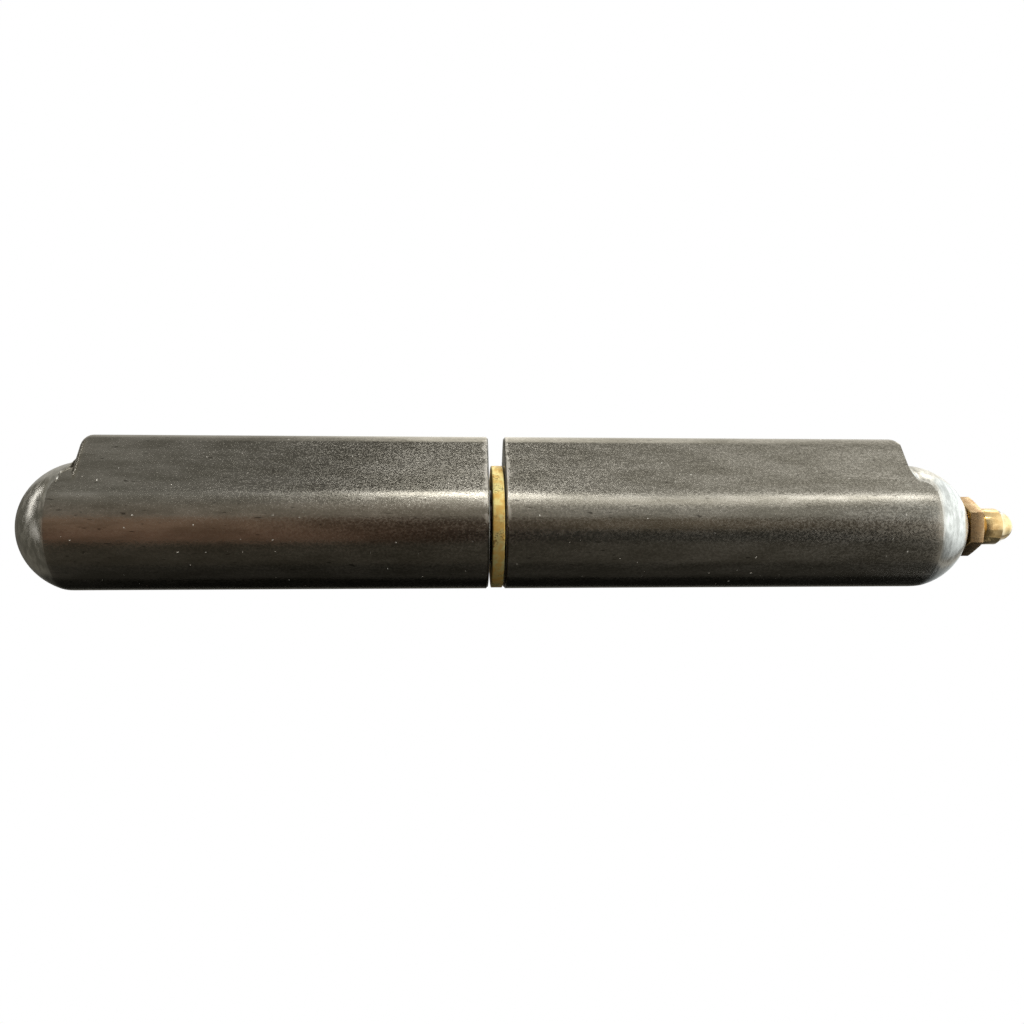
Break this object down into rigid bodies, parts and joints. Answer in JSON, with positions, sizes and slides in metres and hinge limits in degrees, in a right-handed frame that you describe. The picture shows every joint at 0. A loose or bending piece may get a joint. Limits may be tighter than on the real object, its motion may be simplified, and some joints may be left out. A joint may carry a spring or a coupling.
{
  "type": "weld on barrel hinge",
  "caption": "Steel barrel hinge in two teardrop leaves with domed ends that weld on by their wings, turning on a pin and a brass thrust washer, with a grease fitting in one dome.",
  "frame": {"origin": "on the swing axis, half-way between the bearing faces of the two leaves", "axes": "+Z along the swing axis from the pin leaf up to the socket leaf, as the hinge hangs in use; both wings point to -X with the hinge shut"},
  "size_m": [0.027, 0.022, 0.1774],
  "materials": {
    "drawn_steel": "cold drawn bar as it leaves the mill, oiled, finely pitted, with turned ends",
    "ground_steel": "ground",
    "washer_brass": "turned, clean",
    "fitting_brass": "bright turned, with a yellow passivated film"
  },
  "bodies": {
    "pin_leaf": {"pin_leaf": "drawn_steel", "hinge_pin": "ground_steel"},
    "thrust_washer": {"thrust_washer": "washer_brass"},
    "socket_leaf": {"socket_leaf": "drawn_steel", "grease_fitting": "fitting_brass", "check_spring": "ground_steel"},
    "check_ball": {"check_ball": "ground_steel"}
  },
  "joints": [
    {"name": "leaf_swing", "type": "hinge", "parent": "pin_leaf", "child": "thrust_washer", "pos_m": [0, 0, 0], "axis": [0, 0, 1], "continuous": true},
    {"name": "leaf_lift", "type": "slide", "parent": "thrust_washer", "child": "socket_leaf", "axis": [0, 0, 1], "range_m": [0, 0.0432]},
    {"name": "check_valve", "type": "slide", "parent": "socket_leaf", "child": "check_ball", "axis": [0, 0, -1], "range_m": [0, 0.0008], "stiffness_N_per_m": 800, "springref_m": -0.001, "deforming": ["check_spring"]}
  ]
}
